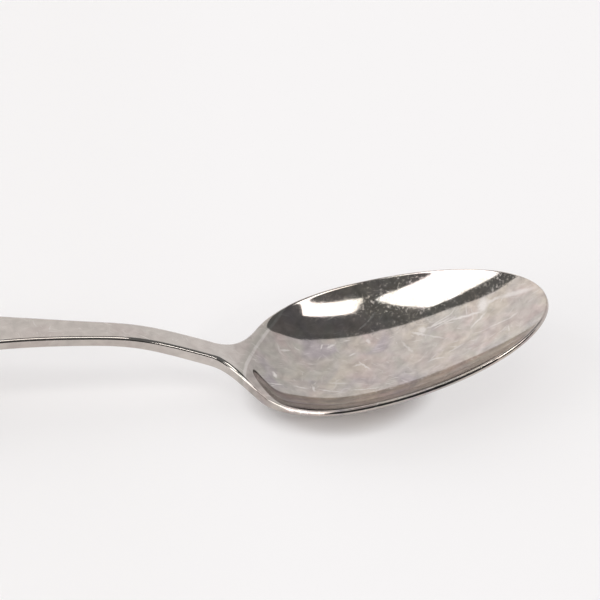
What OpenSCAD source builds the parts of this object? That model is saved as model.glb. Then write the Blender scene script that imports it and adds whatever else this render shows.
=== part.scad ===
// Teaspoon pressed and forged from one stainless steel blank.
// X runs along the spoon with the bowl at +X, Y runs across it and Z is up.
// The table is at z = 0. The bowl's underside and the handle's end stand on it.

/* [Overall] */
// Length from the handle's end to the bowl's tip, mm
overall_length = 141.9; // [125:0.2:160]
// Length of the bowl from the neck crease to the tip, mm
bowl_length = 46.9; // [40:0.2:54]
// Width of the bowl at its widest place, mm
bowl_width = 31.9; // [27:0.1:37]

/* [Bowl] */
// Share of the bowl's length, from the crease, where it is widest
widest_share = 0.384; // [0.32:0.002:0.48]
// Fullness of the bowl's shoulders, where 2 is a plain ellipse
shoulder_power = 2.3; // [2:0.02:2.6]
// Depth of the hollow below the rim line, mm
hollow_depth = 6.6; // [4.5:0.1:8]
// How strongly the deepest place leans to the neck
depth_lean = 0.85; // [0.4:0.01:2.4]
// Fullness of the hollow's cross-section, where 2 is a plain parabola
section_power = 2.55; // [2:0.05:3]
// Thickness of the rim, mm
rim_thickness = 0.95; // [0.7:0.01:1.3]
// Extra metal under the middle of the bowl, mm
floor_extra = 0.39; // [0.1:0.01:0.6]
// Radius on both edges of the rim, mm
rim_round = 0.3; // [0.15:0.01:0.4]
// Width of the land between the hollow and the rim's outline, mm
rim_land = 0.5; // [0.4:0.02:0.8]
// Lean of the rim's outer face away from upright, degrees
rim_tilt = 25; // [0:1:35]

/* [Neck] */
// Least width of the handle, just behind the neck, mm
neck_width = 4.2; // [3.4:0.1:6.5]
// Length of the flare from the neck into the bowl's shoulders, mm
flare_length = 7.2; // [5:0.1:9]
// How far past the crease the flare meets the shoulders, mm
flare_reach = 1.2; // [1:0.1:2.4]
// How far behind the crease the shoulders' own curve would close, mm
shoulder_reach = 0.85; // [0.5:0.05:2]
// Thickness of the neck, mm
neck_thickness = 2.2; // [1.8:0.05:3]
// Bow of the crease towards the handle at mid width, mm
crease_bow = 4.5; // [2:0.1:6]
// How far behind the flare the underside starts to sweep down to the heel, mm
throat_length = 3; // [1:0.1:5]
// How far behind the start of the bowl's length the hollow begins, mm
crease_lead = 0.5; // [0:0.1:1.5]

/* [Handle] */
// Width of the handle near its end, mm
end_width = 14.8; // [11:0.1:19]
// Length of the rounded end, mm
end_round_length = 9; // [6:0.1:12]
// Thickness of the handle, mm
handle_thickness = 1.8; // [1.5:0.05:2.6]
// Radius on the handle's upper edges, mm
handle_top_round = 0.5; // [0.3:0.01:0.6]
// Radius on the handle's lower edges, mm
handle_low_round = 0.35; // [0.2:0.01:0.5]
// Crown of the handle's upper face at its widest, mm
handle_crown = 0.12; // [0:0.01:0.3]

/* [Side view] */
// Height of the handle's upper face at the top of its arch, mm
arch_height = 14.3; // [11:0.05:18]
// Height of the bowl's tip above the table, mm
tip_height = 15.75; // [12:0.05:18]

/* [Part] */
// Which piece is drawn

/* [Hidden] */

steel = [0.75, 0.73, 0.72];

// Stations along the handle as shares of its length, from its end to the crease
handle_station_shares = [0, 0.15, 0.25, 0.35, 0.45, 0.55, 0.64, 0.74, 0.82, 0.9, 0.96];
// Height of the upper face there as shares of the arch height
handle_height_shares = [0.134, 0.472, 0.672, 0.842, 0.955, 1, 0.984, 0.936, 0.868, 0.697, 0.528];
// Stations along the bowl as shares of its length, from the crease to the tip
rim_station_shares = [0.02, 0.09, 0.18, 0.36, 0.64, 1];
// Height of the rim there as shares of the tip height
rim_height_shares = [0.355, 0.371, 0.413, 0.522, 0.7236, 1];

rows_end = 7;
rows_handle = 22;
rows_neck = 14;
rows_shoulder = 8;
rows_front = 13;
half_columns = 11;
edge_steps = 3;
finest_share = 0.02;
rim_thin_share = 0.5;
crease_blend = 0.012;
corner_blend = 0.035;
heel_delay = 0.022;
shoulder_share = 0.16;
heel_share = 0.18;

x_end = bowl_length - overall_length;
x_end_round = x_end + end_round_length;
x_narrow = -12 / 95 * (overall_length - bowl_length);
x_flare_end = flare_reach;
x_flare_start = flare_reach - flare_length;
x_widest = bowl_length * widest_share;
x_shoulder = bowl_length * shoulder_share;
x_throat = x_flare_start - throat_length;
x_heel = bowl_length * heel_share;
rear_length = x_widest + shoulder_reach;
front_length = bowl_length - x_widest;
half_bowl = bowl_width / 2;
half_neck = neck_width / 2;
half_end = end_width / 2;

station_x = concat(
    [for (s = handle_station_shares) x_end * (1 - s)],
    [for (s = rim_station_shares) bowl_length * s]);
station_z = concat(
    [for (s = handle_height_shares) arch_height * s],
    [for (s = rim_height_shares) tip_height * s]);
station_bend = spline_bends(station_x, station_z);

// A cubic spline through the stations, with free ends
function spline_bends(xs, zs) =
    let (n = len(xs) - 1, sweep = spline_sweep(xs, zs, 1, [[0, 0]]))
    spline_back(sweep, n - 1, [0]);

function spline_sweep(xs, zs, i, done) =
    i == len(xs) - 1 ? done :
    let (
        before = xs[i] - xs[i - 1],
        after = xs[i + 1] - xs[i],
        kink = 6 * ((zs[i + 1] - zs[i]) / after - (zs[i] - zs[i - 1]) / before),
        pivot = 2 * (before + after) - before * done[i - 1][0])
    spline_sweep(xs, zs, i + 1,
        concat(done, [[after / pivot, (kink - before * done[i - 1][1]) / pivot]]));

function spline_back(sweep, i, found) =
    i == 0 ? concat([0], found) :
    spline_back(sweep, i - 1, concat([sweep[i][1] - sweep[i][0] * found[0]], found));

function interval(xs, x, i) = i >= len(xs) - 2 || x < xs[i + 1] ? i : interval(xs, x, i + 1);

// Height of the upper face's outer edge at a place along the spoon
function edge_height(x) =
    let (
        i = interval(station_x, x, 0),
        gap = station_x[i + 1] - station_x[i],
        far = (x - station_x[i]) / gap,
        near = 1 - far)
    near * station_z[i] + far * station_z[i + 1]
        + ((pow(near, 3) - near) * station_bend[i] + (pow(far, 3) - far) * station_bend[i + 1]) * gap * gap / 6;

function clamp(v) = min(1, max(0, v));
function ease(t) = t * t * (3 - 2 * t);
function slow_ease(t) = t * t * t * (10 - 15 * t + 6 * t * t);
// Follows v where it is positive and is nothing where it isn't, with a soft start
function soft_positive(v, blend) = v <= -blend ? 0 : v >= blend ? v : pow(v + blend, 2) / (4 * blend);

// Half width of the outline
function shoulder(x) =
    half_bowl * pow(1 - pow(clamp((x_widest - x) / rear_length), shoulder_power), 1 / shoulder_power);
function shoulder_slope(x) = (shoulder(x + finest_share) - shoulder(x - finest_share)) / (2 * finest_share);
function handle_half(x) = half_neck + (half_end - half_neck) * slow_ease(clamp((x_narrow - x) / (x_narrow - x_end_round)));
function flare(x) =
    let (t = (x - x_flare_start) / flare_length)
    handle_half(x) * (1 - ease(t)) + shoulder(x_flare_end) * ease(t)
        + (t * t * t - t * t) * flare_length * shoulder_slope(x_flare_end);
function half_width(x) =
    x <= x_flare_start ? handle_half(x) :
    x <= x_flare_end ? flare(x) : shoulder(x);

// Place on the plan for a row and a column share from -1 to 1
function plan_end(a, v) = [x_end_round - end_round_length * a * sqrt(1 - v * v / 2), v * half_end * sqrt(1 - a * a / 2)];
function plan_front(a, v) = [x_widest + front_length * a * sqrt(1 - v * v / 2), v * half_bowl * sqrt(1 - a * a / 2)];
function plan_middle(x, v) = [x, v * half_width(x)];

column_shares = [for (j = [-half_columns : half_columns]) sin(90 * j / half_columns)];
middle_x = concat(
    [for (i = [0 : rows_handle - 1]) x_end_round + (x_flare_start - x_end_round) * i / rows_handle],
    [for (i = [0 : rows_neck - 1]) x_flare_start + (x_shoulder - x_flare_start) * i / rows_neck],
    [for (i = [0 : rows_shoulder - 1]) x_shoulder + (x_widest - x_shoulder) * i / rows_shoulder]);
plan = concat(
    [for (i = [rows_end : -1 : 1]) [for (v = column_shares) plan_end(sin(90 * i / rows_end), v)]],
    [for (x = middle_x) [for (v = column_shares) plan_middle(x, v)]],
    [for (i = [0 : rows_front]) [for (v = column_shares) plan_front(sin(90 * i / rows_front), v)]]);
rows = len(plan);
columns = len(column_shares);
last_row = rows - 1;
last_column = columns - 1;

// The outline as a loop of [row, column], anticlockwise from above
loop = concat(
    [for (i = [0 : last_row]) [i, 0]],
    [for (j = [1 : last_column]) [last_row, j]],
    [for (i = [last_row - 1 : -1 : 0]) [i, last_column]],
    [for (j = [last_column - 1 : -1 : 1]) [0, j]]);
loop_count = len(loop);

function loop_point(k) =
    let (at = loop[(k + loop_count) % loop_count])
    plan[at[0]][at[1]];
function unit(v) = v / norm(v);
// Outward normal of the outline in plan
loop_normals = [for (k = [0 : loop_count - 1])
    let (t = unit(loop_point(k + 1) - loop_point(k - 1)))
    [t[1], -t[0]]];

function side_normal(i, right) = loop_normals[right ? i : last_row + last_column + last_row - i];
function tip_normal(j) = loop_normals[last_row + j];
function end_normal(j) = j == 0 ? loop_normals[0] : loop_normals[loop_count - j];

// Shares of the way out to the four sides, used to draw the faces in from the outline
function pull(i, j) =
    let (
        v = column_shares[j],
        across = pow(abs(v), 3),
        along_tip = i <= last_row - rows_front ? 0 : pow((i - last_row + rows_front) / rows_front, 4),
        along_end = i >= rows_end ? 0 : pow((rows_end - i) / rows_end, 4),
        side = side_normal(i, v < 0))
    let (
        from_side = side * across,
        from_tip = tip_normal(j) * along_tip,
        from_end = end_normal(j) * along_end,
        total = from_side + from_tip + from_end,
        reach = max(across, along_tip, along_end))
    norm(total) == 0 ? [0, 0] : unit(total) * reach;

// Thickness at the outer edge: handle, neck, then rim
function edge_thickness(x) =
    let (
        to_neck = ease(clamp((x - x_narrow * 2) / (x_flare_start - x_narrow * 2))),
        to_rim = ease(clamp((x - x_flare_start) / (x_widest * rim_thin_share - x_flare_start))))
    (handle_thickness + (neck_thickness - handle_thickness) * to_neck) * (1 - to_rim) + rim_thickness * to_rim;

function to_bowl(x) = ease(clamp((x - x_flare_start) / (x_shoulder - x_flare_start)));
function top_round(x) = handle_top_round + (rim_round - handle_top_round) * to_bowl(x);
function low_round(x) = handle_low_round + (rim_round - handle_low_round) * to_bowl(x);

// Lean of the outer face: upright along the handle, square to the pressed wall round the bowl
function edge_tilt(x) = rim_tilt * to_bowl(x);
// How far inside the outline the upper face ends
function top_inset(x) =
    let (
        tilt = edge_tilt(x),
        high = top_round(x),
        low = low_round(x),
        side = edge_thickness(x) - high * (1 - sin(tilt)) - low * (1 + sin(tilt)))
    side * tan(tilt) + low * (1 - cos(tilt)) + high * cos(tilt);

// How the depth runs along the hollow: gentle at the heel and nothing at the tip
function depth_fade(t) = t <= 0 ? 0 : t / (t + heel_delay) * (1 - t) * (1 + depth_lean * (1 - t));
depth_peak = max([for (t = [0.2 : 0.01 : 0.6]) t * depth_fade(t)]);
hollow_length = bowl_length - rim_land + crease_lead;
corner_share = crease_bow / hollow_length;
// Depth of the hollow as a share, 1 at its deepest, with a bowed crease where it starts
function hollow_share(x, across) =
    let (
        t = min(1, (x + crease_lead) / hollow_length),
        wide = corner_share + soft_positive(t - corner_share, corner_blend))
    depth_fade(t) * soft_positive(t - wide * pow(across, section_power), crease_blend) / depth_peak;

// Half width of the hollow, which ends at the rim's land
function hollow_half(x) =
    x <= x_widest ? half_width(max(x, x_end_round)) - rim_land :
    (half_bowl - rim_land) * sqrt(max(0, 1 - pow((x - x_widest) / (front_length - rim_land), 2)));
function across_share(x, y) = let (half = hollow_half(x)) half <= 0 ? 1 : clamp(abs(y) / half);

function crown(x, y) =
    let (half = handle_half(max(x, x_end_round)))
    handle_crown * half / half_end * (1 - to_bowl(x)) * (1 - pow(clamp(abs(y) / half), 2));
function top_z(x, y) = edge_height(x) + crown(x, y) - hollow_depth * hollow_share(x, across_share(x, y));

// Underside along the middle: the bowl's floor, swept up through the heel to the neck
function floor_z(x) = edge_height(x) - rim_thickness - (hollow_depth + floor_extra) * hollow_share(x, 0);
function low_edge(x) = edge_height(x) - edge_thickness(x);
function slope_of(high, low) = (high - low) / (2 * finest_share);
heel_start_slope = slope_of(low_edge(x_throat + finest_share), low_edge(x_throat - finest_share));
heel_end_slope = slope_of(floor_z(x_heel + finest_share), floor_z(x_heel - finest_share));
function heel(x) =
    let (length = x_heel - x_throat, t = (x - x_throat) / length)
    low_edge(x_throat) * (1 - ease(t)) + floor_z(x_heel) * ease(t)
        + (t * t * t - 2 * t * t + t) * length * heel_start_slope
        + (t * t * t - t * t) * length * heel_end_slope;
function keel(x) = x <= x_throat ? low_edge(x) : x >= x_heel ? floor_z(x) : heel(x);
function low_z(x, y) =
    let (across = across_share(x, y))
    low_edge(x) + (keel(x) - low_edge(x)) * (1 - pow(across, section_power));

function inset_plan(i, j, inset) = plan[i][j] - inset * pull(i, j);
function top_point(i, j) =
    let (p = inset_plan(i, j, top_inset(plan[i][j][0])))
    [p[0], p[1], top_z(p[0], p[1])];
function low_point(i, j) =
    let (p = inset_plan(i, j, low_round(plan[i][j][0])))
    [p[0], p[1], low_z(p[0], p[1])];

top_points = [for (i = [0 : last_row]) for (j = [0 : last_column]) top_point(i, j)];
low_points = [for (i = [0 : last_row]) for (j = [0 : last_column]) low_point(i, j)];
grid_count = rows * columns;
table_z = min([for (p = low_points) p[2]]);
x_middle = bowl_length - overall_length / 2;

// The rounded outer edge between the two faces, as rings round the outline
function edge_ring(k, step) =
    let (
        at = loop[k],
        out = loop_normals[k],
        place = plan[at[0]][at[1]],
        tilt = edge_tilt(place[0]),
        upper = step <= edge_steps,
        corner = upper ? top_points[grid_index(at[0], at[1])] : low_points[grid_index(at[0], at[1])],
        radius = upper ? top_round(place[0]) : low_round(place[0]),
        lean = upper
            ? 90 - (90 - tilt) * step / edge_steps
            : tilt - (90 + tilt) * (step - edge_steps - 1) / edge_steps,
        rise = upper ? sin(lean) - 1 : sin(lean) + 1)
    [corner[0] + out[0] * radius * cos(lean), corner[1] + out[1] * radius * cos(lean), corner[2] + radius * rise];

ring_steps = concat([for (s = [1 : edge_steps]) s], [for (s = [0 : edge_steps - 1]) edge_steps + 1 + s]);
ring_points = [for (s = ring_steps) for (k = [0 : loop_count - 1]) edge_ring(k, s)];
ring_total = len(ring_steps);

function grid_index(i, j) = i * columns + j;
function ring_index(r, k) =
    let (kk = k % loop_count)
    r == 0 ? grid_index(loop[kk][0], loop[kk][1]) :
    r == ring_total + 1 ? grid_count + grid_index(loop[kk][0], loop[kk][1]) :
    2 * grid_count + (r - 1) * loop_count + kk;

// Two triangles for a four-cornered patch, wound clockwise from outside
function patch(a, b, c, d, flip) = flip ? [[a, b, d], [b, c, d]] : [[a, b, c], [a, c, d]];
top_faces = [for (i = [0 : last_row - 1]) for (j = [0 : last_column - 1])
    each patch(grid_index(i, j), grid_index(i, j + 1), grid_index(i + 1, j + 1), grid_index(i + 1, j), j < half_columns)];
low_faces = [for (i = [0 : last_row - 1]) for (j = [0 : last_column - 1])
    each patch(grid_count + grid_index(i, j), grid_count + grid_index(i + 1, j),
        grid_count + grid_index(i + 1, j + 1), grid_count + grid_index(i, j + 1), j >= half_columns)];
edge_faces = [for (r = [0 : ring_total]) for (k = [0 : loop_count - 1])
    each patch(ring_index(r, k), ring_index(r, k + 1), ring_index(r + 1, k + 1), ring_index(r + 1, k),
        k >= last_row + half_columns && k < loop_count - half_columns)];

// The whole spoon: bowl, neck and handle in one piece of metal
module spoon() {
    color(steel)
        translate([-x_middle, 0, -table_z])
        polyhedron(
            points = concat(top_points, low_points, ring_points),
            faces = concat(top_faces, low_faces, edge_faces),
            convexity = 6);
}

spoon();
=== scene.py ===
import math
import bpy
import numpy as np
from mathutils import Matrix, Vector


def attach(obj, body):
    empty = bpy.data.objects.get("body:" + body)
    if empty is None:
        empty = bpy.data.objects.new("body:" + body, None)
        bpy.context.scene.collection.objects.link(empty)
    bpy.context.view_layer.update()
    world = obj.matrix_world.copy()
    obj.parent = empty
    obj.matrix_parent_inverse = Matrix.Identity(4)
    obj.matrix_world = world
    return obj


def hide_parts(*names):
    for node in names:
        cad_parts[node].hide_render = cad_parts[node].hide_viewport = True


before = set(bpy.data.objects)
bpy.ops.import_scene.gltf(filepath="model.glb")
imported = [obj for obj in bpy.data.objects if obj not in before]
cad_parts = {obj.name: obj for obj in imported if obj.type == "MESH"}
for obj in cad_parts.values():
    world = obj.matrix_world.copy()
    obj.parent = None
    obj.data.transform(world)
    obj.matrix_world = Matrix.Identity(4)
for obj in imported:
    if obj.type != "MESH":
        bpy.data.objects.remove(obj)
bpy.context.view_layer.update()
mm = 0.001


def deselectAll():
    if bpy.context.mode != "OBJECT":
        bpy.ops.object.mode_set(mode="OBJECT")
    bpy.ops.object.select_all(action="DESELECT")


def newestObject(name):
    made = bpy.context.active_object
    made.name = name
    made.data.name = name
    return made


# the spoon's sizes in mm, the same as the solid's apart from handleTopRound
size = {
    "overallLength": 141.9,
    "bowlLength": 46.9,
    "bowlWidth": 31.9,
    "widestShare": 0.384,
    "shoulderPower": 2.3,
    "shoulderShare": 0.16,
    "heelShare": 0.18,
    "hollowDepth": 6.6,
    "depthLean": 0.85,
    "sectionPower": 2.55,
    "creaseBlend": 0.012,
    "cornerBlend": 0.035,
    "heelDelay": 0.022,
    "rimThickness": 0.95,
    "rimThinShare": 0.5,
    "floorExtra": 0.39,
    "rimRound": 0.3,
    "rimLand": 0.5,
    "rimTilt": 25,
    "neckWidth": 4.2,
    "narrowShare": 12 / 95,
    "flareLength": 7.2,
    "flareReach": 1.2,
    "shoulderReach": 0.85,
    "neckThickness": 2.2,
    "creaseBow": 4.5,
    "throatLength": 3.0,
    "creaseLead": 0.5,
    "endWidth": 14.8,
    "endRoundLength": 9.0,
    "handleThickness": 1.8,
    "handleTopRound": 0.65,  # the solid's is 0.5, and the lines that this edge mirrors need a little more
    "handleLowRound": 0.35,
    "handleCrown": 0.12,
    "archHeight": 14.3,
    "tipHeight": 15.75,
    "settle": 0.008,  # the smoothing rounds this much off the lowest places
}
# side view: share of the handle's length from its end, and height as a share of the arch
handleStations = [(0, 0.134), (0.15, 0.472), (0.25, 0.672), (0.35, 0.842), (0.45, 0.955), (0.55, 1),
                  (0.64, 0.984), (0.74, 0.936), (0.82, 0.868), (0.9, 0.697), (0.96, 0.528)]
# share of the bowl's length from the crease, and height as a share of the tip's
rimStations = [(0.02, 0.355), (0.09, 0.371), (0.18, 0.413), (0.36, 0.522), (0.64, 0.7236), (1, 1)]
# loops in the blank before it is shaped
blankLoops = {"end": 12, "handle": 48, "neck": 36, "shoulder": 20, "front": 30,
              "halfAcross": 18, "edgeRound": 3}
# power by which an edge's inward pull on the faces fades towards the middle
pullFade = {"side": 3, "end": 4}

xEnd = size["bowlLength"] - size["overallLength"]
xEndRound = xEnd + size["endRoundLength"]
xNarrow = -size["narrowShare"] * (size["overallLength"] - size["bowlLength"])
xFlareEnd = size["flareReach"]
xFlareStart = size["flareReach"] - size["flareLength"]
xWidest = size["bowlLength"] * size["widestShare"]
xShoulder = size["bowlLength"] * size["shoulderShare"]
xThroat = xFlareStart - size["throatLength"]
xHeel = size["bowlLength"] * size["heelShare"]
rearLength = xWidest + size["shoulderReach"]
frontLength = size["bowlLength"] - xWidest
halfBowl = size["bowlWidth"] / 2
halfNeck = size["neckWidth"] / 2
halfEnd = size["endWidth"] / 2


def clamp(v):
    return np.clip(v, 0, 1)


def ease(t):
    return t * t * (3 - 2 * t)


def slowEase(t):
    return t ** 3 * (10 - 15 * t + 6 * t * t)


def softPositive(v, blend):
    return np.where(v <= -blend, 0, np.where(v >= blend, v, (v + blend) ** 2 / (4 * blend)))


def splineThrough(xs, zs):  # a free-ended cubic curve through the stations
    xs, zs = np.array(xs, float), np.array(zs, float)
    gaps = np.diff(xs)
    grid, kinks = np.eye(len(xs)), np.zeros(len(xs))
    for i in range(1, len(xs) - 1):
        grid[i, i - 1:i + 2] = gaps[i - 1], 2 * (gaps[i - 1] + gaps[i]), gaps[i]
        kinks[i] = 6 * ((zs[i + 1] - zs[i]) / gaps[i] - (zs[i] - zs[i - 1]) / gaps[i - 1])
    bends = np.linalg.solve(grid, kinks)

    def height(x):
        i = np.clip(np.searchsorted(xs, x, side="right") - 1, 0, len(gaps) - 1)
        far = (x - xs[i]) / gaps[i]
        near = 1 - far
        bend = (near ** 3 - near) * bends[i] + (far ** 3 - far) * bends[i + 1]
        return near * zs[i] + far * zs[i + 1] + bend * gaps[i] ** 2 / 6
    return height


def slopeAt(curve, x, step=0.02):
    return (curve(x + step) - curve(x - step)) / (2 * step)


edgeStations = ([(xEnd * (1 - share), size["archHeight"] * height) for share, height in handleStations]
                + [(size["bowlLength"] * share, size["tipHeight"] * height) for share, height in rimStations])
edgeHeight = splineThrough(*zip(*edgeStations))


def shoulder(x):
    power = size["shoulderPower"]
    return halfBowl * (1 - clamp((xWidest - x) / rearLength) ** power) ** (1 / power)


def handleHalf(x):
    return halfNeck + (halfEnd - halfNeck) * slowEase(clamp((xNarrow - x) / (xNarrow - xEndRound)))


def flare(x):
    t = (x - xFlareStart) / size["flareLength"]
    leaving = (t ** 3 - t * t) * size["flareLength"] * slopeAt(shoulder, xFlareEnd)
    return handleHalf(x) * (1 - ease(t)) + shoulder(xFlareEnd) * ease(t) + leaving


def halfWidth(x):
    return np.where(x <= xFlareStart, handleHalf(x), np.where(x <= xFlareEnd, flare(x), shoulder(x)))


def toBowl(x):
    return ease(clamp((x - xFlareStart) / (xShoulder - xFlareStart)))


def edgeThickness(x):
    toNeck = ease(clamp((x - xNarrow * 2) / (xFlareStart - xNarrow * 2)))
    toRim = ease(clamp((x - xFlareStart) / (xWidest * size["rimThinShare"] - xFlareStart)))
    handle = size["handleThickness"] + (size["neckThickness"] - size["handleThickness"]) * toNeck
    return handle * (1 - toRim) + size["rimThickness"] * toRim


def topRound(x):
    return size["handleTopRound"] + (size["rimRound"] - size["handleTopRound"]) * toBowl(x)


def lowRound(x):
    return size["handleLowRound"] + (size["rimRound"] - size["handleLowRound"]) * toBowl(x)


def edgeTilt(x):  # the rim's outer face leans with the wall, the handle's stands upright
    return np.radians(size["rimTilt"]) * toBowl(x)


def topInset(x):  # how far inside the outline the upper face ends
    tilt, high, low = edgeTilt(x), topRound(x), lowRound(x)
    side = edgeThickness(x) - high * (1 - np.sin(tilt)) - low * (1 + np.sin(tilt))
    return side * np.tan(tilt) + low * (1 - np.cos(tilt)) + high * np.cos(tilt)


def depthFade(t):  # gentle at the heel, then falls off towards the tip
    rise = np.maximum(t, 0) / (np.maximum(t, 0) + size["heelDelay"])
    return rise * (1 - t) * (1 + size["depthLean"] * (1 - t))


# the depth curve's highest value, looked for where the bowl is deep
depthPeak = max(t * depthFade(t) for t in np.arange(0.2, 0.601, 0.01))
hollowLength = size["bowlLength"] - size["rimLand"] + size["creaseLead"]
cornerShare = size["creaseBow"] / hollowLength


def alongShare(x):
    return np.minimum(1, (x + size["creaseLead"]) / hollowLength)


def hollowShare(x, across):  # 1 at the deepest place, 0 on the land, with a soft crease where it starts
    t = alongShare(x)
    wide = cornerShare + softPositive(t - cornerShare, size["cornerBlend"])
    sunk = softPositive(t - wide * across ** size["sectionPower"], size["creaseBlend"])
    return depthFade(t) * sunk / depthPeak


def acrossShare(x, y):  # 0 on the middle line, 1 where the rim's land starts
    rear = halfWidth(np.maximum(x, xEndRound)) - size["rimLand"]
    reach = clamp(1 - ((x - xWidest) / (frontLength - size["rimLand"])) ** 2)
    half = np.where(x <= xWidest, rear, (halfBowl - size["rimLand"]) * np.sqrt(reach))
    return np.where(half <= 0, 1, clamp(np.abs(y) / np.maximum(half, 1e-6)))


def topHeight(x, y):
    half = handleHalf(np.maximum(x, xEndRound))
    crown = size["handleCrown"] * half / halfEnd * (1 - toBowl(x)) * (1 - clamp(np.abs(y) / half) ** 2)
    return edgeHeight(x) + crown - size["hollowDepth"] * hollowShare(x, acrossShare(x, y))


def floorHeight(x):
    depth = size["hollowDepth"] + size["floorExtra"]
    return edgeHeight(x) - size["rimThickness"] - depth * hollowShare(x, 0)


def lowEdge(x):
    return edgeHeight(x) - edgeThickness(x)


def keelHeight(x):  # along the middle of the underside, swept down from the neck to the heel
    length = xHeel - xThroat
    t = clamp((x - xThroat) / length)
    slopeIn, slopeOut = slopeAt(lowEdge, xThroat), slopeAt(floorHeight, xHeel)
    heel = (lowEdge(xThroat) * (1 - ease(t)) + floorHeight(xHeel) * ease(t)
            + (t ** 3 - 2 * t * t + t) * length * slopeIn + (t ** 3 - t * t) * length * slopeOut)
    return np.where(x <= xThroat, lowEdge(x), np.where(x >= xHeel, floorHeight(x), heel))


def lowHeight(x, y):
    across = acrossShare(x, y)
    return lowEdge(x) + (keelHeight(x) - lowEdge(x)) * (1 - across ** size["sectionPower"])


def cutBlank(rows, columns, rings):
    # a flat plate: one loop for each row and column, and the wall cut into rings
    deselectAll()
    bpy.ops.mesh.primitive_grid_add(x_subdivisions=rows - 1, y_subdivisions=columns - 1, size=2)
    blank = newestObject("spoonSteel")
    bpy.ops.object.mode_set(mode="EDIT")
    bpy.ops.mesh.select_all(action="SELECT")
    bpy.ops.mesh.extrude_region_move(TRANSFORM_OT_translate={"value": (0, 0, -1)})
    bpy.ops.mesh.select_all(action="DESELECT")
    bpy.ops.object.mode_set(mode="OBJECT")
    for edge in blank.data.edges:
        a, b = (blank.data.vertices[i].co for i in edge.vertices)
        edge.select = abs(a.z - b.z) > 0.5
    bpy.ops.object.mode_set(mode="EDIT")
    bpy.ops.mesh.select_mode(type="EDGE")
    bpy.ops.mesh.subdivide(number_cuts=rings)
    bpy.ops.mesh.select_mode(type="VERT")
    bpy.ops.object.mode_set(mode="OBJECT")
    return blank


def layOut():
    # plan places of every row and column: rounded end, handle, neck, shoulders, front
    loops = blankLoops
    acrossAngle = np.linspace(-90, 90, 2 * loops["halfAcross"] + 1)
    v = np.sin(np.radians(acrossAngle))
    rows = []
    for i in range(loops["end"], 0, -1):
        a = math.sin(math.radians(90 * i / loops["end"]))
        rows.append(np.stack([xEndRound - size["endRoundLength"] * a * np.sqrt(1 - v * v / 2),
                              v * halfEnd * math.sqrt(1 - a * a / 2)], -1))
    stretches = [(xEndRound, xFlareStart, loops["handle"]), (xFlareStart, xShoulder, loops["neck"]),
                 (xShoulder, xWidest, loops["shoulder"])]
    for start, stop, count in stretches:
        for x in np.linspace(start, stop, count, endpoint=False):
            rows.append(np.stack([np.full_like(v, x), v * halfWidth(x)], -1))
    for i in range(loops["front"] + 1):
        a = math.sin(math.radians(90 * i / loops["front"]))
        rows.append(np.stack([xWidest + frontLength * a * np.sqrt(1 - v * v / 2),
                              v * halfBowl * math.sqrt(1 - a * a / 2)], -1))
    return np.array(rows), v


def outwardNormals(plan):
    # outward direction of the outline at each border place, along which pressSpoon draws the faces in
    last, side = plan.shape[0] - 1, plan.shape[1] - 1
    loop = ([(i, 0) for i in range(last + 1)] + [(last, j) for j in range(1, side + 1)]
            + [(i, side) for i in range(last - 1, -1, -1)] + [(0, j) for j in range(side - 1, 0, -1)])
    places = np.array([plan[at] for at in loop])
    along = np.roll(places, -1, 0) - np.roll(places, 1, 0)
    along /= np.linalg.norm(along, axis=1)[:, None]
    normals = np.stack([along[:, 1], -along[:, 0]], -1)
    return {at: normals[k] for k, at in enumerate(loop)}


def pressSpoon():
    plan, v = layOut()
    rows, columns = plan.shape[:2]
    rings = 2 * blankLoops["edgeRound"]
    blank = cutBlank(rows, columns, rings)
    normals = outwardNormals(plan)
    last, side = rows - 1, columns - 1
    acrossPull = np.abs(v) ** pullFade["side"]
    pull = np.zeros_like(plan)
    for i in range(rows):
        tipPull = clamp((i - last + blankLoops["front"]) / blankLoops["front"]) ** pullFade["end"]
        endPull = clamp((blankLoops["end"] - i) / blankLoops["end"]) ** pullFade["end"]
        for j in range(columns):
            total = normals[(i, 0 if v[j] < 0 else side)] * acrossPull[j]
            total = total + normals[(last, j)] * tipPull + normals[(0, j)] * endPull
            long = np.linalg.norm(total)
            if long > 0:
                pull[i, j] = total / long * max(acrossPull[j], tipPull, endPull)
    topPlan = plan - pull * topInset(plan[..., 0])[..., None]
    lowPlan = plan - pull * lowRound(plan[..., 0])[..., None]
    top = np.dstack([topPlan, topHeight(topPlan[..., 0], topPlan[..., 1])])
    low = np.dstack([lowPlan, lowHeight(lowPlan[..., 0], lowPlan[..., 1])])

    flat = np.empty(len(blank.data.vertices) * 3)
    blank.data.vertices.foreach_get("co", flat)
    flat = flat.reshape(-1, 3)
    i = np.rint((flat[:, 0] + 1) / 2 * last).astype(int)
    j = np.rint((flat[:, 1] + 1) / 2 * side).astype(int)
    level = np.rint(-flat[:, 2] * (rings + 1)).astype(int)
    shaped = np.where((level == 0)[:, None], top[i, j], low[i, j])
    steps = blankLoops["edgeRound"]
    for k in np.nonzero((level > 0) & (level <= rings))[0]:
        at = (i[k], j[k])
        outward, tilt = np.append(normals[at], 0), edgeTilt(plan[at][0])
        if level[k] <= steps:
            lean = math.pi / 2 - (math.pi / 2 - tilt) * level[k] / steps
            radius, corner, up = topRound(plan[at][0]), top[at], -1
        else:
            lean = tilt - (math.pi / 2 + tilt) * (level[k] - steps - 1) / steps
            radius, corner, up = lowRound(plan[at][0]), low[at], 1
        rise = radius * (up + math.sin(lean))
        shaped[k] = corner + outward * radius * math.cos(lean) + np.array([0, 0, rise])
    shaped -= np.array([size["bowlLength"] - size["overallLength"] / 2, 0, low[..., 2].min() + size["settle"]])
    blank.data.vertices.foreach_set("co", (shaped * mm).ravel())
    blank.data.update()
    return blank


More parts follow.
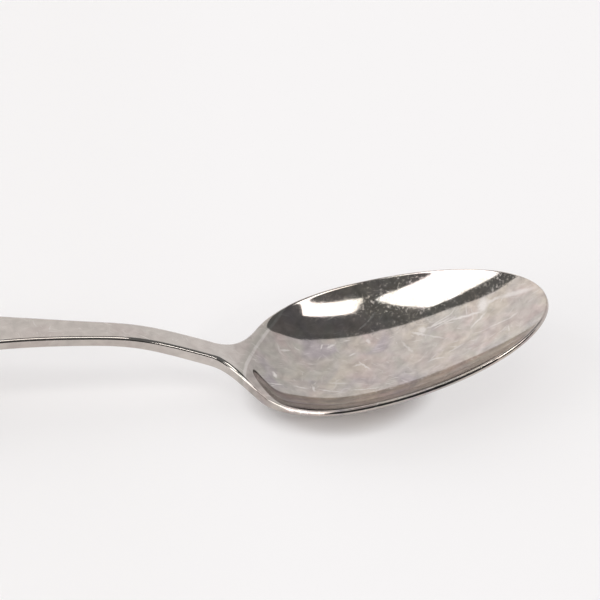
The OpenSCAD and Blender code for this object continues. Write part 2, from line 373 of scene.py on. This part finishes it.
def finishSpoon(spoon):
    deselectAll()
    bpy.context.view_layer.objects.active = spoon
    spoon.select_set(True)
    bpy.ops.object.mode_set(mode="EDIT")
    bpy.ops.mesh.select_all(action="SELECT")
    bpy.ops.mesh.remove_doubles(threshold=1e-7)
    bpy.ops.mesh.normals_make_consistent(inside=False)
    bpy.ops.object.mode_set(mode="OBJECT")
    smooth = spoon.modifiers.new("fineSurface", "SUBSURF")
    smooth.levels = smooth.render_levels = 1
    bpy.ops.object.modifier_apply(modifier=smooth.name)
    bpy.ops.object.shade_smooth()
    return spoon


spoon = finishSpoon(pressSpoon())
print("spoon pressed:", len(spoon.data.polygons), "faces")


steelFinish = {
    "bowlColour": (0.462, 0.418, 0.387),
    "handleColour": (0.565, 0.515, 0.475),
    "neckColour": (0.65, 0.6, 0.56),
    "roseColour": (0.485, 0.405, 0.38),
    "greenColour": (0.42, 0.402, 0.362),
    "violetColour": (0.4, 0.358, 0.368),
    "ochreColour": (0.52, 0.46, 0.39),
    # paler colour of the scratches: the scratches are real wear, the paleness is painted sheen for the light
    # they scatter
    "scratchSheenColour": (0.72, 0.68, 0.65),
    # pale colour of the painted highlight along the pressed line at the neck
    "creaseHighlightColour": (0.62, 0.58, 0.55),
    "patchScale": 0.2,
    "otherPatchScale": 0.18,
    "patchSwirl": 0.6,
    "mottle": 0.2,
    "mottleScale": 0.6,
    "polish": 0.045,
    "haze": 0.05,
    "hazeScale": 0.25,
    "scratchRoughness": 0.07,
    "speckRoughness": 0.19,
    "speckScale": 2.4,
    "bumpStrength": 0.2,
    "bumpDistance": 0.00001,
}
# where along the spoon one finish gives way to the next, in mm
finishStretches = {
    "neckColour": (2, 19),
    "bowlColour": (21.5, 24),
    "bowlPatches": (23, 27),
    "bowlMottle": (21, 25),
    "warmerFront": (26, 60),
    "palerFront": (25, 60),
    "specks": (32, 46),
}
# turn in degrees, length and width of a scratch in mm, how rare, and how strong
scratchLayers = [(8, 3.4, 0.16, 0.66, 0.6), (28, 2.6, 0.16, 0.67, 0.5), (-16, 4.0, 0.15, 0.67, 0.6),
                 (52, 2.2, 0.16, 0.69, 0.5), (-48, 2.6, 0.16, 0.69, 0.5), (85, 1.6, 0.17, 0.68, 0.45)]
# the scratches that stand out: middle in mm, turn in degrees, length and width in mm, and how strong
deepScratches = [(54.5, 6, 0, 4, 0.3, 0.5), (59, 5, -15, 6, 0.33, 0.6), (61.5, 5.5, 85, 3, 1.1, 0.7),
                 (60.5, 3, 35, 3.5, 0.25, 0.55), (63, 5.5, 0, 3, 0.45, 0.45), (66.5, 4.5, -20, 6, 0.6, 0.5),
                 (63.5, 0, -5, 3.5, 0.22, 0.45), (65.5, 0, 25, 1.5, 0.25, 0.4), (64.5, -2.5, 85, 2, 0.2, 0.4),
                 (51.5, 5.5, -35, 3, 0.3, 0.5), (54, 3.5, -40, 3.5, 0.2, 0.35), (52, 6, -60, 1.5, 0.8, 0.5),
                 (49.5, 3.5, -65, 4, 0.3, 0.3), (56.5, -1, 10, 3, 0.23, 0.3), (28, -1, -75, 1.5, 0.4, 0.9),
                 (30, 5.5, 15, 2, 0.28, 0.45), (36, 7, 65, 1, 0.25, 0.55), (37.5, 7, 25, 1.5, 0.28, 0.55),
                 (28, -3.5, 15, 2.5, 0.2, 0.6), (32, -3, -5, 2.5, 0.2, 0.5), (34, -3, -85, 1.5, 0.3, 0.55),
                 (36.5, -3.5, -15, 4.5, 0.18, 0.45), (42, -4, -10, 5.5, 0.18, 0.4), (38, -1.5, -10, 3, 0.3, 0.3),
                 (42.5, 2, -55, 3, 0.22, 0.5), (41.5, 2.5, 5, 1.5, 0.22, 0.4), (43.5, 7, -65, 1, 0.45, 0.45)]
# how far in mm the layers bend with a slow swirl, and how far a deep scratch's edge is ragged
scratchBend, scratchFray = 9, 0.5
# the pressed line where the neck meets the hollow, painted pale as a painted highlight: its place on the middle
# line, slant, bow and width, in mm
creaseLine = {"x": 23.9, "slant": 0.28, "bow": 0.018, "width": 0.3, "facet": 1.4, "ragged": 0.07}


def node(tree, kind, **settings):
    made = tree.nodes.new(kind)
    for key, value in settings.items():
        if key in made.inputs:
            made.inputs[key].default_value = value
        else:
            setattr(made, key, value)
    return made


def noiseAt(tree, place, scale, detail, distortion=0.0):
    made = node(tree, "ShaderNodeTexNoise", Scale=scale, Detail=detail, Distortion=distortion)
    tree.links.new(place, made.inputs["Vector"])
    return made.outputs["Fac"]


def shifted(tree, place, by):
    made = node(tree, "ShaderNodeMapping")
    made.inputs["Location"].default_value = by
    tree.links.new(place, made.inputs["Vector"])
    return made.outputs["Vector"]


def swirled(tree, place, start, by, scale, detail):  # the places in start, moved about by a noise
    swirl = node(tree, "ShaderNodeTexNoise", Scale=scale, Detail=detail)
    tree.links.new(place, swirl.inputs["Vector"])
    made = node(tree, "ShaderNodeVectorMath", operation="MULTIPLY_ADD")
    tree.links.new(swirl.outputs["Color"], made.inputs[0])
    made.inputs[1].default_value = (by, by, 0)
    tree.links.new(start, made.inputs[2])
    return made.outputs[0]


def ramp(tree, value, start, stop, low=0.0, high=1.0):
    made = node(tree, "ShaderNodeMapRange")
    made.inputs["From Min"].default_value, made.inputs["From Max"].default_value = start, stop
    made.inputs["To Min"].default_value, made.inputs["To Max"].default_value = low, high
    tree.links.new(value, made.inputs["Value"])
    return made.outputs["Result"]


def join(tree, kind, first, second=0.0):
    made = node(tree, "ShaderNodeMath", operation=kind)
    for socket, value in zip(made.inputs, (first, second)):
        if isinstance(value, (int, float)):
            socket.default_value = value
        else:
            tree.links.new(value, socket)
    return made.outputs[0]


def mixColour(tree, amount, first, second, blend="MIX"):
    made = node(tree, "ShaderNodeMix", data_type="RGBA", blend_type=blend)
    if isinstance(amount, float):
        made.inputs[0].default_value = amount
    else:
        tree.links.new(amount, made.inputs[0])
    for socket, value in ((made.inputs[6], first), (made.inputs[7], second)):
        if isinstance(value, tuple):
            socket.default_value = (*value, 1)
        else:
            tree.links.new(value, socket)
    return made.outputs[2]


def dashLayers(tree, place):
    # short stretched dashes, each layer at its own turn and bent a little by a slow swirl
    bent = swirled(tree, place, place, scratchBend, 0.12, 1)
    scratches = None
    for k, (turn, length, width, rare, strength) in enumerate(scratchLayers):
        # every layer is moved on, so that no two share a pattern
        turned = node(tree, "ShaderNodeMapping")
        turned.inputs["Rotation"].default_value = (0, 0, math.radians(turn))
        turned.inputs["Location"].default_value = (17.0 * k, 5.0 * k, 0)
        tree.links.new(bent, turned.inputs["Vector"])
        drawn = node(tree, "ShaderNodeMapping")
        drawn.inputs["Scale"].default_value = (1 / length, 1 / width / 2.5, 0.05)
        tree.links.new(turned.outputs["Vector"], drawn.inputs["Vector"])
        dashes = ramp(tree, noiseAt(tree, drawn.outputs["Vector"], 1, 1), rare, rare + 0.09)
        where = ramp(tree, noiseAt(tree, turned.outputs["Vector"], 0.2, 1), 0.42, 0.62)
        layer = join(tree, "MULTIPLY", join(tree, "MULTIPLY", dashes, where), strength)
        scratches = layer if scratches is None else join(tree, "MAXIMUM", scratches, layer)
    return scratches


def singleScratches(tree, place):
    # a soft long spot for each scratch, a little ragged
    centred = shifted(tree, place, (-scratchFray / 2, -scratchFray / 2, 0))
    ragged = swirled(tree, place, centred, scratchFray, 1.6, 2)
    marks = None
    for x, y, turn, length, width, strength in deepScratches:
        spot = node(tree, "ShaderNodeMapping", vector_type="TEXTURE")
        spot.inputs["Location"].default_value = (x, y, 0)
        spot.inputs["Rotation"].default_value = (0, 0, math.radians(turn))
        # the spot fades towards its edge, so it is laid out larger; 1000 makes it the same at any height
        spot.inputs["Scale"].default_value = (length * 0.6, width * 0.9, 1000)
        tree.links.new(ragged, spot.inputs["Vector"])
        softSpot = node(tree, "ShaderNodeTexGradient", gradient_type="SPHERICAL")
        tree.links.new(spot.outputs["Vector"], softSpot.inputs["Vector"])
        mark = ramp(tree, softSpot.outputs["Fac"], 0.0, 0.6, 0.0, min(strength * 1.3, 1))
        marks = mark if marks is None else join(tree, "MAXIMUM", marks, mark)
    return marks


def makeSteel(finish):
    steel = bpy.data.materials.new("wornPolishedSteel")
    steel.use_nodes = True
    tree = steel.node_tree
    link = tree.links.new
    shader = tree.nodes["Principled BSDF"]
    shader.inputs["Metallic"].default_value = 1
    scaled = node(tree, "ShaderNodeMapping")
    scaled.inputs["Scale"].default_value = (1 / mm, 1 / mm, 1 / mm)
    link(node(tree, "ShaderNodeTexCoord").outputs["Object"], scaled.inputs["Vector"])
    inMm = scaled.outputs["Vector"]
    axes = node(tree, "ShaderNodeSeparateXYZ")
    link(inMm, axes.inputs[0])
    x, y = axes.outputs["X"], axes.outputs["Y"]
    facing = node(tree, "ShaderNodeSeparateXYZ")
    link(node(tree, "ShaderNodeNewGeometry").outputs["Normal"], facing.inputs[0])
    upper = ramp(tree, facing.outputs["Z"], 0.0, 0.2)

    def along(stretch, low=0.0, high=1.0):
        return ramp(tree, x, *finishStretches[stretch], low, high)

    def times(first, second):
        return join(tree, "MULTIPLY", first, second)

    # patches of colour: pinker, greener, darker violet near the heel and warmer towards the front
    slow = noiseAt(tree, inMm, finish["patchScale"], 1.5, finish["patchSwirl"])
    other = noiseAt(tree, shifted(tree, inMm, (31, 7, 0)), finish["otherPatchScale"], 1.5, finish["patchSwirl"])
    ground = mixColour(tree, along("neckColour"), finish["handleColour"], finish["neckColour"])
    ground = mixColour(tree, along("bowlColour"), ground, finish["bowlColour"])
    rosy = times(ramp(tree, slow, 0.5, 0.66, 0, 0.8), along("bowlPatches", 0.35, 1))
    green = times(ramp(tree, slow, 0.5, 0.34, 0, 0.7), along("bowlPatches", 0.3, 1))
    ground = mixColour(tree, rosy, ground, finish["roseColour"])
    ground = mixColour(tree, green, ground, finish["greenColour"])
    lean = join(tree, "ADD", other, along("warmerFront", -0.07, 0.07))
    inBowl = along("bowlPatches")
    warm = times(ramp(tree, lean, 0.5, 0.68, 0, 0.6), inBowl)
    cool = times(ramp(tree, lean, 0.46, 0.3, 0, 0.9), inBowl)
    ground = mixColour(tree, warm, ground, finish["ochreColour"])
    ground = mixColour(tree, cool, ground, finish["violetColour"])

    # fine mottling of the worn polish, half as strong on the handle
    speckle = noiseAt(tree, inMm, finish["mottleScale"], 3, 0.4)
    shade = ramp(tree, speckle, 0.25, 0.75, -finish["mottle"], finish["mottle"])
    shade = join(tree, "ADD", times(shade, along("bowlMottle", 0.5, 1)), 1)
    shade = times(shade, along("palerFront", 0.93, 1.06))
    grey = node(tree, "ShaderNodeCombineXYZ")
    for socket in grey.inputs:
        link(shade, socket)
    ground = mixColour(tree, 1.0, ground, grey.outputs[0], "MULTIPLY")

    # the pressed line at the neck, painted pale as a painted highlight on the upward faces, with a darker
    # greenish band on its handle side
    bowed = times(times(y, y), creaseLine["bow"])
    line = join(tree, "ADD", join(tree, "ADD", times(y, creaseLine["slant"]), bowed), creaseLine["x"])
    ragged = ramp(tree, noiseAt(tree, inMm, 0.6, 2), 0.3, 0.7, -creaseLine["ragged"], creaseLine["ragged"])
    past = join(tree, "ADD", join(tree, "SUBTRACT", x, line), ragged)
    facet = times(ramp(tree, past, -creaseLine["facet"], -0.4), ramp(tree, past, 0.0, -0.2))
    ground = mixColour(tree, times(facet, 0.7), ground, finish["greenColour"])
    crease = ramp(tree, join(tree, "ABSOLUTE", past), creaseLine["width"] / 2, creaseLine["width"], 0.8, 0)
    crease = times(crease, ramp(tree, noiseAt(tree, inMm, 0.8, 2), 0.35, 0.55, 0.55, 1))
    # painted highlight along the pressed line, on upward faces only
    ground = mixColour(tree, times(crease, upper), ground, finish["creaseHighlightColour"])

    # the scratches are real wear; painting them paler adds painted sheen where they would scatter light
    marks = times(join(tree, "MAXIMUM", dashLayers(tree, inMm), singleScratches(tree, inMm)), upper)
    link(mixColour(tree, marks, ground, finish["scratchSheenColour"]), shader.inputs["Base Color"])

    # light specks where the front of the bowl is worn dull
    specks = ramp(tree, noiseAt(tree, inMm, finish["speckScale"], 3, 0.6), 0.54, 0.7)
    specks = times(specks, along("specks"))
    haze = ramp(tree, noiseAt(tree, inMm, finish["hazeScale"], 4), 0.35, 0.75,
                finish["polish"], finish["polish"] + finish["haze"])
    rough = join(tree, "ADD", haze, times(marks, finish["scratchRoughness"]))
    rough = join(tree, "ADD", rough, times(specks, finish["speckRoughness"]))
    link(rough, shader.inputs["Roughness"])

    dent = node(tree, "ShaderNodeBump", Strength=finish["bumpStrength"], Distance=finish["bumpDistance"])
    link(join(tree, "ADD", marks, speckle), dent.inputs["Height"])
    link(dent.outputs["Normal"], shader.inputs["Normal"])
    return steel


spoon.data.materials.clear()
spoon.data.materials.append(makeSteel(steelFinish))
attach(spoon, "root")
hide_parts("spoon")
print("steel finished")


studio = {
    "surroundLeft": 1.22,  # the room is paler on the left than on the right
    "surroundRight": 0.76,
    "surroundColour": (1, 0.992, 0.996),
    "leftWindow": 3.4,
    "rightWindow": 3.0,
    "frontWindow": 9.0,
    "rightLight": 2.4,
    "leftLight": 3.4,
    "darkCeiling": 0.18,
    "darkFront": 0.045,
    "warmWhite": (1, 0.99, 0.97),
    "warmGlass": (1, 0.99, 0.96),
    "coolGlass": (0.96, 0.985, 1),
    "coolDark": (0.95, 0.985, 1),
    "paleDark": (0.98, 0.99, 1),
    "ceilingHeight": 3.0,
    "windowDrop": 0.05,
}
# edges of the cards overhead, as places on a ceiling one metre up
darkCeiling = [(-1.16, 0.43), (-1.12, 0.43), (-1.01, 0.52), (-0.96, 0.51), (-0.76, 0.31), (-0.64, 0.25),
               (-0.37, 0.15), (-0.06, 0.15), (0.14, 0.18), (0.4, 0.28), (0.64, 0.33), (0.9, 0.4), (1.29, 0.47),
               (1.7, 0.6), (1.7, -0.95), (0.6, -0.95), (0.6, -1.6), (0.05, -1.6), (0.05, -0.95), (-1.16, -0.95)]
leftWindow = [(0.3, -0.23), (-0.12, -0.3), (-0.2, -0.32), (-0.25, -0.36), (-0.31, -0.56), (-0.24, -0.56),
              (0.06, -0.5), (0.15, -0.5), (0.3, -0.55)]
rightWindow = [(-0.38, -0.48), (-0.43, -0.53), (-0.7, -0.58), (-0.78, -0.61), (-0.9, -0.6), (-1.1, -0.4),
               (-1.2, -0.05), (-1.12, 0.04), (-1.02, 0.1), (-0.81, 0.1), (-0.7, 0.07), (-0.67, 0.04),
               (-0.59, -0.11), (-0.47, -0.31)]
frontWindow = [(0.6, -0.98), (1.3, -0.98), (2, -0.75), (3.6, -0.9), (3.6, -1.7), (1.3, -1.6), (1.3, -1.1),
               (0.6, -1.1)]
# low cards standing round the front: two ends in plan, lower and upper edge, all in metres
darkFront = ((-3.2, -5.5), (5.5, -5.5), 0.12, 3.6)
darkRight = ((5.3, -5.1), (7.2, -0.8), 0.1, 2.2)
lowRight = ((5.3, -5.1), (7.2, -0.8), 2.2, 3.6)
lowLeft = ((-4.9, -2.7), (-3.2, -4.8), 1.3, 3.6)
lowSide = ((-5.7, 0.3), (-5.0, -2.6), 0.9, 3.0)


def glow(name, colour, strength):
    material = bpy.data.materials.new(name)
    material.use_nodes = True
    nodes, links = material.node_tree.nodes, material.node_tree.links
    nodes.remove(nodes["Principled BSDF"])
    shine = nodes.new("ShaderNodeEmission")
    shine.inputs["Color"].default_value = (*colour, 1)
    shine.inputs["Strength"].default_value = strength
    links.new(shine.outputs[0], nodes["Material Output"].inputs["Surface"])
    return material


def overhead(places, drop=0.0):
    high = studio["ceilingHeight"] - drop
    return [(x * high, y * high, high) for x, y in places]


def upright(start, stop, low, top):
    return [(*start, low), (*stop, low), (*stop, top), (*start, top)]


def makeCard(name, corners, colour, strength):
    mesh = bpy.data.meshes.new(name)
    mesh.from_pydata(corners, [], [list(range(len(corners)))])
    card = bpy.data.objects.new(name, mesh)
    bpy.context.scene.collection.objects.link(card)
    mesh.materials.append(glow(name, colour, strength))
    card.visible_camera = False


tableFinish = {
    "length": 24,
    "colour": (0.93, 0.908, 0.903),
    "glow": (0.953, 0.938, 0.943),
    "glowShare": 0.6,
    "handleGlowShare": 0.38,
    "glowStretch": (0.0, 0.026),   # along the spoon, in metres
    # how close the bowl must come before the glow fades into painted contact shade, in metres
    "closeDistance": 0.004,
    "closeRange": (0.4, 0.95),
    "roughness": 0.6,
    "sheen": 0.1,
}


def makeTableTop(finish):
    # painted light: part of the paleness is a glow, seen by the camera and in the steel, so that shadows stay
    # light;
    # that share is less along the handle, and it fades where the bowl comes close, which paints a darker contact
    # shade there
    material = bpy.data.materials.new("paleTable")
    material.use_nodes = True
    tree = material.node_tree
    link = tree.links.new
    shader = tree.nodes["Principled BSDF"]
    shader.inputs["Base Color"].default_value = (*finish["colour"], 1)
    shader.inputs["Roughness"].default_value = finish["roughness"]
    shader.inputs["Specular IOR Level"].default_value = finish["sheen"]
    paintedGlow = node(tree, "ShaderNodeEmission", Color=(*finish["glow"], 1))
    rays = node(tree, "ShaderNodeLightPath").outputs
    seen = join(tree, "MAXIMUM", rays["Is Camera Ray"], rays["Is Glossy Ray"])
    axes = node(tree, "ShaderNodeSeparateXYZ")
    link(node(tree, "ShaderNodeTexCoord").outputs["Object"], axes.inputs[0])
    share = ramp(tree, axes.outputs["X"], *finish["glowStretch"], finish["handleGlowShare"], finish["glowShare"])
    # painted contact shade: the glow fades where the bowl comes close to the table
    paintedContactShade = node(tree, "ShaderNodeAmbientOcclusion", Distance=finish["closeDistance"], samples=8)
    share = join(tree, "MULTIPLY", share, ramp(tree, paintedContactShade.outputs["AO"], *finish["closeRange"]))
    mixed = node(tree, "ShaderNodeMixShader")
    link(join(tree, "MULTIPLY", seen, share), mixed.inputs[0])
    link(shader.outputs[0], mixed.inputs[1])
    link(paintedGlow.outputs[0], mixed.inputs[2])
    link(mixed.outputs[0], tree.nodes["Material Output"].inputs["Surface"])
    return material


deselectAll()
bpy.ops.mesh.primitive_plane_add(size=tableFinish["length"], location=(0, 0, 0))
table = newestObject("table")
table.data.materials.append(makeTableTop(tableFinish))

windowDrop = studio["windowDrop"]
for name, corners, colour, strength in [
        ("darkCeilingCard", overhead(darkCeiling), "coolDark", "darkCeiling"),
        ("darkFrontCard", upright(*darkFront), "paleDark", "darkFront"),
        ("leftWindowCard", overhead(leftWindow, windowDrop), "warmGlass", "leftWindow"),
        ("rightWindowCard", overhead(rightWindow, windowDrop), "coolGlass", "rightWindow"),
        ("frontWindowCard", overhead(frontWindow, windowDrop), "warmWhite", "frontWindow"),
        ("darkRightCard", upright(*darkRight), "paleDark", "darkFront"),
        ("lowRightCard", upright(*lowRight), "warmWhite", "rightLight"),
        ("lowLeftCard", upright(*lowLeft), "warmWhite", "leftLight"),
        ("lowSideCard", upright(*lowSide), "warmWhite", "leftLight")]:
    makeCard(name, corners, studio[colour], studio[strength])

world = bpy.data.worlds.new("paleSurround")
bpy.context.scene.world = world
world.use_nodes = True
sky = world.node_tree
sky.nodes["Background"].inputs["Color"].default_value = (*studio["surroundColour"], 1)
skyAxes = node(sky, "ShaderNodeSeparateXYZ")
sky.links.new(node(sky, "ShaderNodeTexCoord").outputs["Generated"], skyAxes.inputs[0])
paleness = ramp(sky, skyAxes.outputs["X"], -1, 1, studio["surroundLeft"], studio["surroundRight"])
sky.links.new(paleness, sky.nodes["Background"].inputs["Strength"])
print("studio lit")


cameraPlace = {"turn": 4, "elevation": 37, "distance": 0.45, "target": (0.03205, 0, 0.017),
               "lens": 174.15, "sensor": 36}
turn, elevation = math.radians(cameraPlace["turn"]), math.radians(cameraPlace["elevation"])
level = math.cos(elevation)
forward = Vector((math.sin(turn) * level, math.cos(turn) * level, -math.sin(elevation)))
cameraData = bpy.data.cameras.new("camera")
cameraData.lens = cameraPlace["lens"]
cameraData.sensor_width = cameraPlace["sensor"]
camera = bpy.data.objects.new("camera", cameraData)
bpy.context.scene.collection.objects.link(camera)
camera.location = Vector(cameraPlace["target"]) - forward * cameraPlace["distance"]
camera.rotation_mode = "QUATERNION"
camera.rotation_quaternion = forward.to_track_quat("-Z", "Y")
bpy.context.scene.camera = camera
bpy.context.scene.view_settings.view_transform = "Standard"
print("camera placed")
